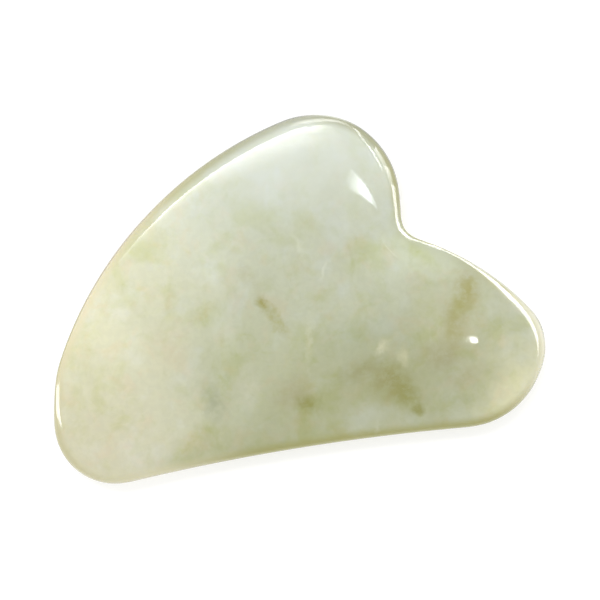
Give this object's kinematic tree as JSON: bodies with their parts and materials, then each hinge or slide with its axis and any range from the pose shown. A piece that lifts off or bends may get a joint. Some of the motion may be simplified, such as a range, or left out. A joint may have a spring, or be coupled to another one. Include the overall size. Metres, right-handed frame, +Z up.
{
  "type": "gua sha scraper",
  "caption": "Heart-shaped flat stone scraper: two rounded lobes with a small notch between them, a long hollow side, and a tapered edge with a small round rim.",
  "frame": {"origin": "centre of the outline's box, on the flat face that the stone rests on", "axes": "+X along the hollow side from the heel to the tip, +Y towards the crown, +Z up through the thickness"},
  "size_m": [0.082, 0.055, 0.0065],
  "materials": {
    "jade": "polished, pale green with olive-brown clouds"
  },
  "bodies": {
    "root": {"stone": "jade"}
  },
  "joints": []
}
